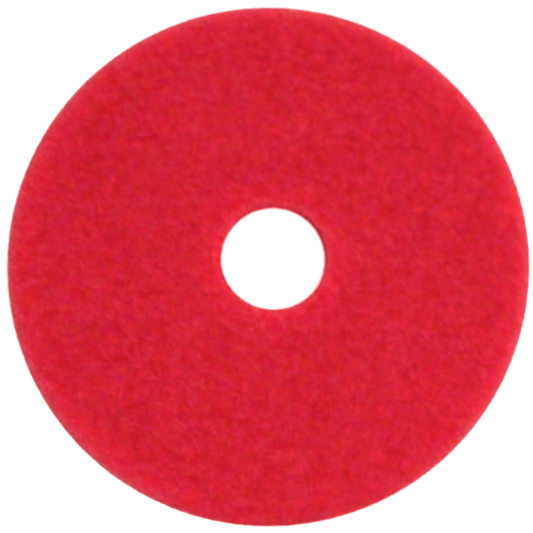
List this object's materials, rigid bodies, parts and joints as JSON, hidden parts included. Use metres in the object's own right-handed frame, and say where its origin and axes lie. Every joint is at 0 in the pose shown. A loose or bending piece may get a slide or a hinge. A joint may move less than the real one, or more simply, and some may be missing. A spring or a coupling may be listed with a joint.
{
  "type": "floor machine pad",
  "caption": "Round red non-woven fibre pad with a round centre hole, flat on both faces, gripped by a rotary floor machine's pad driver to spray-clean and buff hard floors.",
  "frame": {"origin": "centre of the hole, on the floor-side face, so the pad stands on z = 0", "axes": "+Z along the hole's axis, from the floor side to the driver side; +X and +Y are any two directions across the disc"},
  "size_m": [0.4064, 0.4064, 0.0254],
  "materials": {
    "red_fibre": "matte"
  },
  "bodies": {
    "root": {"floor_pad": "red_fibre"}
  },
  "joints": []
}
